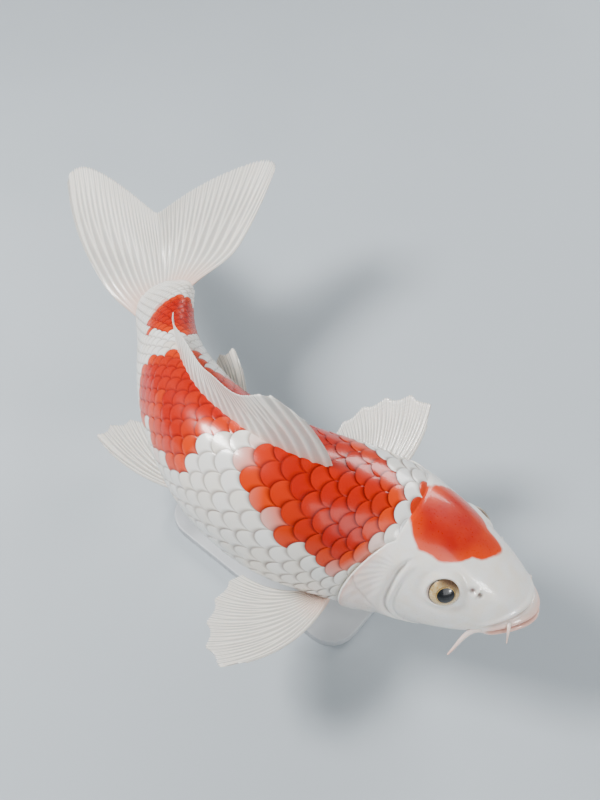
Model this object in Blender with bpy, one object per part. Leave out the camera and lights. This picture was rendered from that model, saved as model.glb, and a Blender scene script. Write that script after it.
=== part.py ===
"""Koi carp, a still life-size model held over a flat base by two rods.

Frame: metres, +Z up, origin on the floor under the middle of the model. The head points to +X
and the fish's right side faces -Y. Stations along the body are fractions of its standard length,
from the snout (0) to the end of the scaled tail stalk (about 1).
"""
import math

import bmesh
import bpy
import numpy as np

# ---- driving sizes -------------------------------------------------------------------------
STANDARD_LENGTH = 0.46          # snout to the root of the tail fin
GAP = 0.0003                    # clearance kept between touching pieces
SNOUT = (0.3052, -0.0115, 0.112)   # where the tip of the snout lies

# Height of the back over the spine, depth of the belly under it, and half-width, by station
BACK = ((0, 0), (0.012, 0.026), (0.05, 0.060), (0.11, 0.095), (0.20, 0.132), (0.30, 0.156),
        (0.44, 0.167), (0.55, 0.156), (0.70, 0.121), (0.88, 0.079), (1.0, 0.075))
BELLY = ((0, 0), (0.012, 0.026), (0.05, 0.052), (0.11, 0.082), (0.20, 0.113), (0.30, 0.137),
         (0.42, 0.151), (0.55, 0.142), (0.70, 0.109), (0.88, 0.071), (1.0, 0.069))
FLANK = ((0, 0), (0.012, 0.028), (0.05, 0.060), (0.11, 0.086), (0.20, 0.108), (0.30, 0.121),
         (0.40, 0.124), (0.55, 0.112), (0.70, 0.089), (0.88, 0.055), (1.0, 0.036))
FULLNESS_SIDE = 2.15            # superellipse powers of the cross-section
FULLNESS_BACK = 2.0
FULLNESS_BELLY = 2.3
STALK_END = 1.045               # the stalk closes as a rounded wedge inside the tail fin
WEDGE_HEIGHT = 0.065            # length over which its height rounds off
WEDGE_WIDTH = 0.110             # length over which its width rounds off

# Pose: direction from head to tail in the body's own plane, in degrees about Z, by station
HEADINGS = ((0, 192), (0.20, 192), (0.38, 204), (0.56, 175), (0.78, 149), (1.0, 134), (1.3, 123))
PITCH = 2.0                     # nose down
BANK = 10.0                     # right side turned up
TWIST = 72.0                    # the tail stalk turns its upper edge to the left by this much
TWIST_SPAN = (0.80, 1.12)
ROLL = 8.0                      # the trunk rolls its back to the right by this much
ROLL_SPAN = (0.24, 0.42, 0.62, 0.86)   # where the roll starts, is full, starts to end and ends

# Where the body is divided
HEAD_END = 0.245
CHEST_END = 0.48
LOIN_END = 0.80
AROUND = 28                     # facets round the body

# Mouth: a cut through the snout in the fish's middle plane, (station, height)
MOUTH_LINE = ((-0.02, 0.011), (0.028, -0.002), (0.066, -0.020))
JAW_END = (0.080, -0.068)
JAW_UNDER = -0.14

EYE_RADIUS = 0.0150
EYE_STATION = 0.147
EYE_ANGLE = 60.0                # degrees from the back towards the flank
EYE_SINK = 0.0098               # depth of the eyeball's centre below the skin

GILL_FRONT = 0.205              # front edge of the cover, half way down
GILL_HORN = 0.026               # how far its upper and lower horns start behind that
GILL_REAR = 0.246               # rear edge at the horns
GILL_BULGE = 0.066              # how far its middle reaches behind them
GILL_ANGLES = (40.0, 150.0)
GILL_THICKNESS = (0.0010, 0.0021)

FIN_ROOT_HALF = 0.0013          # half-thickness of a fin at its root
FIN_EDGE_HALF = 0.0003          # and at its free edge

STAND_BASE = (0.204, 0.112, 0.010)
STAND_BASE_CENTRE = (0.0894, -0.047)
STAND_CORNER = 0.026
ROD_RADIUS = 0.0045
ROD_STATIONS = (0.345, 0.640)


# ---- curves --------------------------------------------------------------------------------
def curve_through(stations):
    """A smooth curve through (station, value) pairs, with no overshoot between them."""
    xs, ys = (np.array(column, float) for column in zip(*stations))
    steps = np.diff(xs)
    slopes = np.diff(ys) / steps
    tangents = np.zeros_like(ys)
    tangents[0], tangents[-1] = slopes[0], slopes[-1]
    before, after = slopes[:-1], slopes[1:]
    same = before * after > 0
    total = np.where(same, before + after, 1)
    tangents[1:-1] = np.where(same, 2 * before * after / total, 0)

    def value(x):
        x = np.clip(np.asarray(x, float), xs[0], xs[-1])
        i = np.clip(np.searchsorted(xs, x, side="right") - 1, 0, len(xs) - 2)
        t = (x - xs[i]) / steps[i]
        return ((2 * t**3 - 3 * t**2 + 1) * ys[i] + (t**3 - 2 * t**2 + t) * steps[i] * tangents[i]
                + (3 * t**2 - 2 * t**3) * ys[i + 1] + (t**3 - t**2) * steps[i] * tangents[i + 1])

    return value


def round_nosed(stations):
    """The same curve, drawn over the root of the station so that it starts as a round nose."""
    inner = curve_through([(math.sqrt(x), y) for x, y in stations])
    return lambda x: inner(np.sqrt(np.maximum(x, 0)))


def ease(x, start, end):
    t = np.clip((np.asarray(x, float) - start) / (end - start), 0, 1)
    return t * t * (3 - 2 * t)


def rounding_off(x, length):
    """1 along the body, falling to 0 in a quarter ellipse at the end of the stalk."""
    t = np.clip((np.asarray(x, float) - (STALK_END - length)) / length, 0, 1)
    return np.sqrt(1 - t * t)


back_of = round_nosed(BACK)
belly_of = round_nosed(BELLY)
flank_of = round_nosed(FLANK)
heading_of = curve_through(HEADINGS)


# ---- the spine and the body round it -------------------------------------------------------
def turn(axis, degrees):
    c, s = math.cos(math.radians(degrees)), math.sin(math.radians(degrees))
    i, j = [(1, 2), (2, 0), (0, 1)][axis]
    matrix = np.eye(3)
    matrix[i, i] = matrix[j, j] = c
    matrix[i, j], matrix[j, i] = -s, s
    return matrix


def make_spine(samples=500, last=1.40):
    """Points, tailward, upward and rightward directions along the bent and twisted spine."""
    stations = np.linspace(-0.02, last, samples)
    heading = np.radians(heading_of(stations))
    along = np.stack([np.cos(heading), np.sin(heading), np.zeros(samples)], 1)
    step = STANDARD_LENGTH * (stations[1] - stations[0])
    middles = (along[1:] + along[:-1]) / 2
    points = np.concatenate([np.zeros((1, 3)), np.cumsum(middles * step, 0)])
    points -= [np.interp(0, stations, points[:, k]) for k in range(3)]
    pose = turn(1, PITCH) @ turn(0, -BANK)
    points = points @ pose.T + np.array(SNOUT)
    along = along @ pose.T
    level = np.tile(pose[:, 2], (samples, 1))
    right = np.cross(-along, level)
    rolled = ease(stations, *ROLL_SPAN[:2]) * (1 - ease(stations, *ROLL_SPAN[2:]))
    lean = np.radians(TWIST * ease(stations, *TWIST_SPAN) - ROLL * rolled)[:, None]
    up = level * np.cos(lean) - right * np.sin(lean)
    return stations, points, along, up, np.cross(-along, up)


SPINE = make_spine()


def spine_at(station):
    stations, *columns = SPINE
    station = np.asarray(station, float)
    return [np.stack([np.interp(station, stations, c[:, k]) for k in range(3)], -1)
            for c in columns]


def in_body(station, height=0.0, side=0.0):
    """A point by station, height over the spine and distance to the right, as fractions."""
    point, _, up, right = spine_at(station)
    height = np.asarray(height, float)[..., None] * STANDARD_LENGTH
    side = np.asarray(side, float)[..., None] * STANDARD_LENGTH
    return point + up * height + right * side


def on_body(station, angle, lift=0.0):
    """A point on the skin. The angle is 0 on the back and 90 degrees on the right flank."""
    station, angle = np.asarray(station, float), np.radians(angle)
    cosine, sine = np.cos(angle), np.sin(angle)
    tall = rounding_off(station, WEDGE_HEIGHT) * STANDARD_LENGTH
    wide = rounding_off(station, WEDGE_WIDTH) * STANDARD_LENGTH
    side = (flank_of(station) * wide + lift) * np.sign(sine) * np.abs(sine) ** (2 / FULLNESS_SIDE)
    over = (back_of(station) * tall + lift) * np.abs(cosine) ** (2 / FULLNESS_BACK)
    under = (belly_of(station) * tall + lift) * np.abs(cosine) ** (2 / FULLNESS_BELLY)
    point, _, up, right = spine_at(station)
    height = np.where(cosine > 0, over, -under)
    return point + right * side[..., None] + up * height[..., None]


# ---- objects -------------------------------------------------------------------------------
def material(name, colour, roughness, metallic=0.0):
    made = bpy.data.materials.new(name)
    made.use_nodes = True
    surface = made.node_tree.nodes["Principled BSDF"]
    surface.inputs["Base Color"].default_value = (*colour, 1)
    surface.inputs["Roughness"].default_value = roughness
    surface.inputs["Metallic"].default_value = metallic
    return made


def add_object(name, verts, faces, look):
    mesh = bpy.data.meshes.new(name)
    mesh.from_pydata([tuple(map(float, v)) for v in verts], [], faces)
    bm = bmesh.new()
    bm.from_mesh(mesh)
    bmesh.ops.recalc_face_normals(bm, faces=bm.faces)
    bm.to_mesh(mesh)
    bm.free()
    mesh.shade_smooth()
    mesh.set_sharp_from_angle(angle=math.radians(40))
    thing = bpy.data.objects.new(name, mesh)
    bpy.context.collection.objects.link(thing)
    if look:
        thing.data.materials.append(look)
    return thing


def as_cutter(thing):
    thing.hide_render = True
    thing.display_type = "WIRE"
    return thing


def boolean(thing, cutter, operation="DIFFERENCE"):
    step = thing.modifiers.new(cutter.name, "BOOLEAN")
    step.operation = operation
    step.object = cutter
    step.solver = "EXACT"


def tube(name, rings, look):
    """A closed solid through rings of points. A ring of one point closes an end as a tip."""
    verts, faces, starts = [], [], []
    for ring in rings:
        starts.append(len(verts))
        verts.extend(ring)
    for k in range(len(rings) - 1):
        a, b = starts[k], starts[k + 1]
        near, far = len(rings[k]), len(rings[k + 1])
        count = max(near, far)
        for i in range(count):
            j = (i + 1) % count
            if near == 1:
                faces.append((a, b + i, b + j))
            elif far == 1:
                faces.append((a + i, a + j, b))
            else:
                faces.append((a + i, a + j, b + j, b + i))
    if len(rings[0]) > 1:
        faces.append(tuple(range(len(rings[0]) - 1, -1, -1)))
    if len(rings[-1]) > 1:
        faces.append(tuple(range(starts[-1], starts[-1] + len(rings[-1]))))
    return add_object(name, verts, faces, look)


def ring_stations(start, end, rings):
    """Stations of a length's cross-sections, closer together at the snout and the stalk's end."""
    t = np.linspace(0, 1, rings + 1)
    if start == 0:
        t = t ** 1.7
    if end == STALK_END:
        t = 1 - (1 - t) ** 1.5
    return start + (end - start) * t


def body_length(name, stations, look, lift=0.0):
    """A length of the body through its cross-sections, closed at the snout or the stalk's end."""
    angles = np.arange(AROUND) * 360.0 / AROUND
    sections = []
    for station in stations:
        if station in (0, STALK_END):
            tip = on_body(station, np.zeros(1))
            tip += spine_at([station])[1] * (lift if station else -lift)
            sections.append(tip)
        else:
            sections.append(on_body(np.full(AROUND, station), angles, lift))
    return tube(name, sections, look)


def sheet(name, grid, root_half, edge_half, look, facing=None):
    """A thin solid over a grid of points, [across][outwards], thinning towards its free edge."""
    grid = np.asarray(grid)
    across, outwards = grid.shape[:2]
    if facing is None:
        facing = np.cross(np.gradient(grid, axis=0), np.gradient(grid, axis=1))
        facing /= np.linalg.norm(facing, axis=2)[..., None]
    half = np.linspace(root_half, edge_half, outwards)[None, :, None]
    verts = np.concatenate([(grid + facing * half).reshape(-1, 3),
                            (grid - facing * half).reshape(-1, 3)])
    count = across * outwards
    faces = []
    for i in range(across - 1):
        for j in range(outwards - 1):
            a = i * outwards + j
            quad = (a, a + 1, a + outwards + 1, a + outwards)
            faces.append(quad)
            faces.append(tuple(v + count for v in reversed(quad)))
    rim = [i * outwards for i in range(across)]
    rim += [(across - 1) * outwards + j for j in range(1, outwards)]
    rim += [i * outwards + outwards - 1 for i in range(across - 2, -1, -1)]
    rim += list(range(outwards - 2, 0, -1))
    for a, b in zip(rim, rim[1:] + rim[:1]):
        faces.append((a, b, b + count, a + count))
    return add_object(name, verts, faces, look)


# Cross-sections of the four lengths, each set off from the one before it by the gap
SEAM = GAP / STANDARD_LENGTH
HEAD_RINGS = ring_stations(0, HEAD_END, 13)
CHEST_RINGS = ring_stations(HEAD_END + SEAM, CHEST_END, 8)
LOIN_RINGS = ring_stations(CHEST_END + SEAM, LOIN_END, 9)
STALK_RINGS = ring_stations(LOIN_END + SEAM, STALK_END, 13)


# ---- head ----------------------------------------------------------------------------------
def mouth_prism(name, shrink):
    """The space of the lower jaw, as a prism across the head."""
    line = [(x, z - shrink) for x, z in MOUTH_LINE]
    rear = [(JAW_END[0] - shrink, JAW_END[1]), (JAW_END[0] - shrink, JAW_UNDER)]
    outline = line + rear + [(MOUTH_LINE[0][0], JAW_UNDER)]
    left = [in_body(x, z, -0.12) for x, z in outline]
    right = [in_body(x, z, 0.12) for x, z in outline]
    return as_cutter(tube(name, [left, right], None))


def eye_place(side):
    skin = on_body(EYE_STATION, side * EYE_ANGLE)
    ahead = on_body(EYE_STATION - 0.01, side * EYE_ANGLE) - on_body(EYE_STATION + 0.01, side * EYE_ANGLE)
    upward = on_body(EYE_STATION, side * (EYE_ANGLE - 4)) - on_body(EYE_STATION, side * (EYE_ANGLE + 4))
    outward = np.cross(ahead, upward) * side
    return skin - outward / np.linalg.norm(outward) * EYE_SINK


def ball(name, centre, radius, look, segments=16, rings=10):
    polar = np.pi * np.arange(1, rings) / rings
    turns = 2 * np.pi * np.arange(segments) / segments
    sections = [[centre + [0, 0, radius]]]
    for p in polar:
        sections.append([centre + radius * np.array([math.sin(p) * math.cos(a),
                                                     math.sin(p) * math.sin(a), math.cos(p)])
                         for a in turns])
    sections.append([centre - [0, 0, radius]])
    return tube(name, sections, look)


def add_head(skin, iris):
    head = body_length("head", HEAD_RINGS, skin)
    boolean(head, mouth_prism("mouth_space", 0.0))
    jaw = body_length("lower_jaw", HEAD_RINGS, skin)
    boolean(jaw, mouth_prism("jaw_space", SEAM), "INTERSECT")
    for side, word in ((1, "right"), (-1, "left")):
        centre = eye_place(side)
        ball("eye_" + word, centre, EYE_RADIUS, iris)
        socket = as_cutter(ball("socket_" + word, centre, EYE_RADIUS + GAP, None))
        boolean(head, socket)


def gill_front(t):
    return GILL_FRONT + GILL_HORN * (1 - np.sin(np.pi * t) ** 0.7)


def gill_rear(t):
    return GILL_REAR + GILL_BULGE * np.sin(np.pi * t) ** 0.8


def add_gill_cover(word, side, skin):
    """The cover's plate, lying just off the head and the front of the trunk."""
    down, along = 11, 8
    t = np.linspace(0, 1, down)[:, None] * np.ones((1, along))
    s = np.linspace(0, 1, along)[None, :] * np.ones((down, 1))
    angle = GILL_ANGLES[0] + (GILL_ANGLES[1] - GILL_ANGLES[0]) * t
    station = gill_front(t) + (gill_rear(t) - gill_front(t)) * s
    inner = on_body(station, side * angle, 2 * GAP)
    thick = GILL_THICKNESS[0] + (GILL_THICKNESS[1] - GILL_THICKNESS[0]) * s
    outer = on_body(station, side * angle, 2 * GAP + thick)
    middle = (inner + outer) / 2
    return sheet("gill_cover_" + word, middle, 0.5, 0.5, skin, facing=outer - inner)


def add_barbel(name, start, tip, sag, radius, skin, cutter):
    """A feeler tapering from its root in the lip to its tip, bowed along the way."""
    start, tip = np.asarray(start), np.asarray(tip)
    t = np.linspace(0, 1, 8)[:, None]
    route = start + (tip - start) * t + np.asarray(sag) * np.sin(np.pi * t)
    along = np.gradient(route, axis=0)
    along /= np.linalg.norm(along, axis=1)[:, None]
    first = np.cross(along, [0.3, 0.2, 1.0])
    first /= np.linalg.norm(first, axis=1)[:, None]
    second = np.cross(along, first)
    rings = []
    for point, a, b, k in zip(route, first, second, t[:, 0]):
        size = radius * (1 - 0.72 * k)
        rings.append([point + size * (a * math.cos(v) + b * math.sin(v))
                      for v in np.arange(8) * math.pi / 4])
    rings.append([tip + along[-1] * radius * 0.5])
    barbel = tube(name, rings, skin)
    boolean(barbel, cutter)
    return barbel


# Root (station, angle) of each pair, and how far its tips lie back, outward and down (metres)
BARBELS = {"long": ((0.070, 104.0), (0.012, 0.018, 0.028), 0.0028),
           "short": ((0.034, 80.0), (-0.006, 0.009, 0.015), 0.0018)}


def add_barbels(skin, cutter):
    for size, ((station, angle), (back, out, down), radius) in BARBELS.items():
        for side, word in ((1, "right"), (-1, "left")):
            root = on_body(station, side * angle, -0.003)
            _, tailward, up, right = spine_at(station)
            reach = tailward * back + right * side * out - up * down
            bow = up * 0.002 + right * side * 0.002
            add_barbel("barbel_%s_%s" % (size, word), root, root + reach, bow, radius, skin, cutter)


# ---- fins ----------------------------------------------------------------------------------
def scallop(v, lobes, depth):
    """Shortens the rays between the lobes of a fin's free edge."""
    return 1 - depth * np.abs(np.cos(np.pi * lobes * v))


def dorsal_ray(v, r):
    """The back fin: v runs from its first ray to its last, r from root to free edge."""
    root = 0.385 + 0.400 * v
    length = 0.096 * (1 - v) ** 1.8 + 0.066 - 0.018 * np.sin(np.pi * v) ** 2
    length = length * (1 - 0.22 * np.exp(-(v / 0.04) ** 2)) * (1 + 0.05 * np.sin(6 * np.pi * v))
    sweep = np.radians(14 + 34 * v + 14 * r)
    station = root + r * length * np.sin(sweep)
    height = back_of(root) * 0.93 + r * length * np.cos(sweep)
    side = -0.04 * r * length + 0.008 * r * r * np.sin(2.5 * np.pi * v)
    return in_body(station, height, side)


def anal_ray(v, r):
    """The small fin behind the vent."""
    root = 0.765 + 0.075 * v
    length = (0.150 * (1 - v) + 0.070 * v) * (1 - 0.18 * np.exp(-(v / 0.10) ** 2))
    sweep = np.radians(30 + 26 * v + 10 * r)
    station = root + r * length * np.sin(sweep)
    height = -belly_of(root) * 0.90 - r * length * np.cos(sweep)
    return in_body(station, height, -0.006 * r * r * np.cos(2 * np.pi * v))


def caudal_ray(v, r):
    """The tail fin: v is 1 at its upper edge and -1 at its lower edge."""
    reach = np.abs(v)
    fan = np.radians(34.0) * np.sign(v) * reach ** 0.85
    length = 0.150 + 0.310 * reach ** 1.25
    length = length * (1 - 0.24 * np.clip((reach - 0.70) / 0.30, 0, 1) ** 2.2) * (1 - 0.05 * v)
    flare = fan * (1 + (0.26 - 0.12 * v) * (0.5 - r))
    station = 0.975 + 0.035 * np.cos(v * np.pi / 2) + r * length * np.cos(flare)
    height = 0.062 * v + r * length * np.sin(flare)
    side = 0.012 * np.sin(np.pi * r) * np.sin(1.3 * np.pi * v) + 0.09 * r * r
    return in_body(station, height, side)


def paired_ray(v, r, side, fin):
    """A pectoral or pelvic fin: v runs from its leading ray to its last one."""
    station = fin["station"] + fin["root_length"] * v
    angle = fin["angle"] + fin["root_slope"] * v
    root = on_body(station, side * angle, -0.004)
    _, tailward, up, right = spine_at(np.full_like(v, fin["station"]))
    lift = np.radians(fin["lift"] + fin["cup"] * (v - 0.5))[..., None]
    outward = right * side * np.cos(lift) + up * np.sin(lift)
    sweep = np.radians(fin["sweep"] + fin["spread"] * v + fin["bow"] * r)
    length = fin["length"] * (1 - fin["shorten"] * v ** 1.7)
    length = length * (1 - 0.16 * np.exp(-(v / 0.10) ** 2)) * scallop(v, fin["lobes"], 0.05)
    reach = outward * np.cos(sweep)[..., None] + tailward * np.sin(sweep)[..., None]
    return root + reach * (r * length * STANDARD_LENGTH)[..., None]


PECTORAL = dict(station=0.326, angle=124.0, root_length=0.030, root_slope=10.0, length=0.240,
                spread=50.0, bow=26.0, shorten=0.42, lobes=5, cup=-16.0)
PELVIC = dict(station=0.610, angle=148.0, root_length=0.026, root_slope=4.0, length=0.235,
              spread=36.0, bow=18.0, shorten=0.36, lobes=4, cup=-14.0)
# How each fin is held: degrees back from straight out, and degrees up from level
HELD = {("pectoral", "right"): dict(sweep=4.0, lift=-10.0),
        ("pectoral", "left"): dict(station=0.335, sweep=-50.0, lift=30.0, spread=44.0),
        ("pelvic", "right"): dict(sweep=47.0, lift=2.0),
        ("pelvic", "left"): dict(sweep=26.0, lift=36.0)}


def add_fin(name, ray, first, last, rays, steps, look, cutter):
    v = np.linspace(first, last, rays)[:, None] * np.ones((1, steps))
    r = np.linspace(0, 1, steps)[None, :] * np.ones((rays, 1))
    fin = sheet(name, ray(v, r), FIN_ROOT_HALF, FIN_EDGE_HALF, look)
    boolean(fin, cutter)
    return fin


def add_fins(look, cutter):
    add_fin("dorsal_fin", dorsal_ray, 0, 1, 22, 7, look, cutter)
    add_fin("anal_fin", anal_ray, 0, 1, 8, 6, look, cutter)
    add_fin("caudal_fin", caudal_ray, -1, 1, 25, 8, look, cutter)
    for side, word in ((1, "right"), (-1, "left")):
        for kind, fin in (("pectoral", PECTORAL), ("pelvic", PELVIC)):
            held = dict(fin, **HELD[kind, word])
            add_fin("%s_fin_%s" % (kind, word), lambda v, r: paired_ray(v, r, side, held),
                    0, 1, 2 * fin["lobes"] + 5, 8, look, cutter)


# ---- display stand -------------------------------------------------------------------------
def add_base(look):
    """A flat plate with round corners, its edges eased by a small bevel."""
    length, width, height = STAND_BASE
    outline = []
    for quarter, (sx, sy) in enumerate(((1, 1), (-1, 1), (-1, -1), (1, -1))):
        centre = (sx * (length / 2 - STAND_CORNER), sy * (width / 2 - STAND_CORNER))
        for k in range(7):
            a = math.radians(90 * quarter + 15 * k)
            outline.append((centre[0] + STAND_CORNER * math.cos(a) + STAND_BASE_CENTRE[0],
                            centre[1] + STAND_CORNER * math.sin(a) + STAND_BASE_CENTRE[1]))
    rings = [[(x, y, z) for x, y in outline] for z in (0.0, height)]
    base = tube("stand_base", rings, look)
    bevel = base.modifiers.new("eased_edge", "BEVEL")
    bevel.width = 0.0012
    bevel.segments = 2
    bevel.limit_method = "ANGLE"
    bevel.angle_limit = math.radians(60)
    return base


def add_rod(name, station, look, cutter):
    """An upright rod from the plate to the belly, cut to the belly's shape."""
    foot = in_body(station, -float(belly_of(station)) * 0.8)
    turns = np.arange(20) * math.pi / 10
    circle = [(foot[0] + ROD_RADIUS * math.cos(a), foot[1] + ROD_RADIUS * math.sin(a))
              for a in turns]
    rings = [[(x, y, z) for x, y in circle] for z in (STAND_BASE[2] + GAP, foot[2])]
    rod = tube(name, rings, look)
    boolean(rod, cutter)
    return rod


# ---- the whole model -----------------------------------------------------------------------
def main():
    for thing in list(bpy.data.objects):
        bpy.data.objects.remove(thing, do_unlink=True)
    skin = material("white_skin", (0.86, 0.82, 0.76), 0.35)
    red = material("red_skin", (0.75, 0.13, 0.04), 0.35)
    web = material("fin_web", (0.88, 0.84, 0.80), 0.40)
    iris = material("eye", (0.05, 0.04, 0.03), 0.10)
    plate = material("grey_paint", (0.55, 0.56, 0.57), 0.45)
    steel = material("steel", (0.60, 0.61, 0.62), 0.28, 1.0)

    every_ring = np.concatenate([HEAD_RINGS, CHEST_RINGS, LOIN_RINGS, STALK_RINGS])
    cutter = as_cutter(body_length("flesh", every_ring, None, GAP))
    add_head(red, iris)
    body_length("chest", CHEST_RINGS, skin)
    body_length("loin", LOIN_RINGS, red)
    body_length("tail_stalk", STALK_RINGS, skin)
    for side, word in ((1, "right"), (-1, "left")):
        add_gill_cover(word, side, skin)
    add_barbels(skin, cutter)
    add_fins(web, cutter)
    add_base(plate)
    for station, word in zip(ROD_STATIONS, ("front", "rear")):
        add_rod("stand_rod_" + word, station, steel, cutter)


main()
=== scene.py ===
"""A still, life-size Kohaku koi on a display stand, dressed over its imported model.

Metres, +Z up, the head to +X, the fish's right side facing -Y. The fish is shaped straight and
level first (x tailward from the snout, y to its right, z up), then bent along its spine.
"""
import math

import bmesh
import bpy
import numpy as np
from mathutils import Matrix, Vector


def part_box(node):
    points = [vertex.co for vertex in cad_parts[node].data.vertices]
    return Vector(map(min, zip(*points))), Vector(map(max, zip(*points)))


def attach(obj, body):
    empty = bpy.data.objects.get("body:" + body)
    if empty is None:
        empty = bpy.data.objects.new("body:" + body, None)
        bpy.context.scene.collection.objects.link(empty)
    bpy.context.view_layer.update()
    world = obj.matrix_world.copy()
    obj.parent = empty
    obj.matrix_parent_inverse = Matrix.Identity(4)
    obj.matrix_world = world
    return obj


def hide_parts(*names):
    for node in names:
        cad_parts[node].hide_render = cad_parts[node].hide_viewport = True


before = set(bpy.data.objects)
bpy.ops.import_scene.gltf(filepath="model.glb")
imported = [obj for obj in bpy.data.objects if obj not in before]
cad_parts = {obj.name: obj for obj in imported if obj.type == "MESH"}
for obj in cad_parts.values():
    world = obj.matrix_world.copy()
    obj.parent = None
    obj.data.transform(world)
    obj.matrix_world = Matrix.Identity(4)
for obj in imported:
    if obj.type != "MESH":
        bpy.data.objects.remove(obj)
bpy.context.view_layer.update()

# ---- The skin ----
# One skin covers head, jaw, gill covers, trunk and tail stalk. On the head it is bare and wet
# over the bones; behind the gill openings it is the bed that the scales stand in. The gill
# covers end in a free flap, and the lips, nostrils and eye rims are folds of it.
STANDARD_LENGTH = 0.46
SNOUT = (0.3052, -0.0115, 0.112)
BACK = ((0, 0), (0.012, 0.026), (0.05, 0.060), (0.11, 0.095), (0.20, 0.132), (0.30, 0.156),
        (0.44, 0.167), (0.55, 0.156), (0.70, 0.121), (0.88, 0.079), (1.0, 0.075))
BELLY = ((0, 0), (0.012, 0.026), (0.05, 0.052), (0.11, 0.082), (0.20, 0.113), (0.30, 0.137),
         (0.42, 0.151), (0.55, 0.142), (0.70, 0.109), (0.88, 0.071), (1.0, 0.069))
FLANK = ((0, 0), (0.012, 0.028), (0.05, 0.060), (0.11, 0.086), (0.20, 0.108), (0.30, 0.121),
         (0.40, 0.124), (0.55, 0.112), (0.70, 0.089), (0.88, 0.055), (1.0, 0.036))
FULLNESS_SIDE, FULLNESS_BACK, FULLNESS_BELLY = 2.15, 2.0, 2.3
STALK_END, WEDGE_HEIGHT, WEDGE_WIDTH = 1.045, 0.065, 0.110
HEADINGS = ((0, 192), (0.20, 192), (0.38, 204), (0.56, 175), (0.78, 149), (1.0, 134), (1.3, 123))
PITCH, BANK = 2.0, 10.0
TWIST, TWIST_SPAN = 72.0, (0.80, 1.12)
ROLL, ROLL_SPAN = 8.0, (0.24, 0.42, 0.62, 0.86)


def curve_through(stations):
    """A smooth curve through (station, value) pairs, with no overshoot between them."""
    xs, ys = (np.array(column, float) for column in zip(*stations))
    steps = np.diff(xs)
    slopes = np.diff(ys) / steps
    tangents = np.zeros_like(ys)
    tangents[0], tangents[-1] = slopes[0], slopes[-1]
    before, after = slopes[:-1], slopes[1:]
    same = before * after > 0
    tangents[1:-1] = np.where(same, 2 * before * after / np.where(same, before + after, 1), 0)

    def value(x):
        x = np.clip(np.asarray(x, float), xs[0], xs[-1])
        i = np.clip(np.searchsorted(xs, x, side="right") - 1, 0, len(xs) - 2)
        t = (x - xs[i]) / steps[i]
        return ((2 * t**3 - 3 * t**2 + 1) * ys[i] + (t**3 - 2 * t**2 + t) * steps[i] * tangents[i]
                + (3 * t**2 - 2 * t**3) * ys[i + 1] + (t**3 - t**2) * steps[i] * tangents[i + 1])

    return value


def round_nosed(stations):
    inner = curve_through([(math.sqrt(x), y) for x, y in stations])
    return lambda x: inner(np.sqrt(np.maximum(x, 0)))


def joined(*columns):
    """Points from their coordinates, each an array or a number."""
    return np.stack(np.broadcast_arrays(*columns), -1)


def unit(vectors):
    return vectors / np.linalg.norm(vectors, axis=-1, keepdims=True)


def ease(x, start, end):
    t = np.clip((np.asarray(x, float) - start) / (end - start), 0, 1)
    return t * t * (3 - 2 * t)


def bell(distance, width):
    return np.exp(-(distance / width) ** 2)


def rounding_off(station, length):
    t = np.clip((np.asarray(station, float) - (STALK_END - length)) / length, 0, 1)
    return np.sqrt(1 - t * t)


back_of, belly_of, flank_of = round_nosed(BACK), round_nosed(BELLY), round_nosed(FLANK)
heading_of = curve_through(HEADINGS)


def flesh(station, angle, lift=0.0):
    """A point of the straight fish. The angle is 0 on the back and 90 degrees on its right."""
    station, angle = np.asarray(station, float), np.radians(angle)
    cosine, sine = np.cos(angle), np.sin(angle)
    tall = rounding_off(station, WEDGE_HEIGHT) * STANDARD_LENGTH
    wide = rounding_off(station, WEDGE_WIDTH) * STANDARD_LENGTH
    side = (flank_of(station) * wide + lift) * np.sign(sine) * np.abs(sine) ** (2 / FULLNESS_SIDE)
    over = (back_of(station) * tall + lift) * np.abs(cosine) ** (2 / FULLNESS_BACK)
    under = (belly_of(station) * tall + lift) * np.abs(cosine) ** (2 / FULLNESS_BELLY)
    return joined(station * STANDARD_LENGTH, side, np.where(cosine > 0, over, -under))


def turn(axis, degrees):
    c, s = math.cos(math.radians(degrees)), math.sin(math.radians(degrees))
    i, j = [(1, 2), (2, 0), (0, 1)][axis]
    matrix = np.eye(3)
    matrix[i, i] = matrix[j, j] = c
    matrix[i, j], matrix[j, i] = -s, s
    return matrix


def make_spine(samples=1500, last=1.40):
    """Points, tailward, upward and rightward directions along the bent and twisted spine."""
    stations = np.linspace(-0.02, last, samples)
    heading = np.radians(heading_of(stations))
    along = joined(np.cos(heading), np.sin(heading), 0)
    step = STANDARD_LENGTH * (stations[1] - stations[0])
    points = np.concatenate([np.zeros((1, 3)), np.cumsum((along[1:] + along[:-1]) / 2 * step, 0)])
    points -= [np.interp(0, stations, points[:, k]) for k in range(3)]
    pose = turn(1, PITCH) @ turn(0, -BANK)
    along = along @ pose.T
    level = np.tile(pose[:, 2], (samples, 1))
    right = np.cross(-along, level)
    rolled = ease(stations, *ROLL_SPAN[:2]) * (1 - ease(stations, *ROLL_SPAN[2:]))
    lean = np.radians(TWIST * ease(stations, *TWIST_SPAN) - ROLL * rolled)[:, None]
    up = level * np.cos(lean) - right * np.sin(lean)
    return stations, points @ pose.T + SNOUT, along, up, np.cross(-along, up)


SPINE = make_spine()


def spine_at(station):
    stations, *columns = SPINE
    return [joined(*(np.interp(station, stations, axis) for axis in c.T)) for c in columns]


def bend(straight):
    """Takes points of the straight fish to where they lie on the bent one."""
    point, _, up, right = spine_at(straight[..., 0] / STANDARD_LENGTH)
    return point + right * straight[..., 1:2] + up * straight[..., 2:3]


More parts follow.
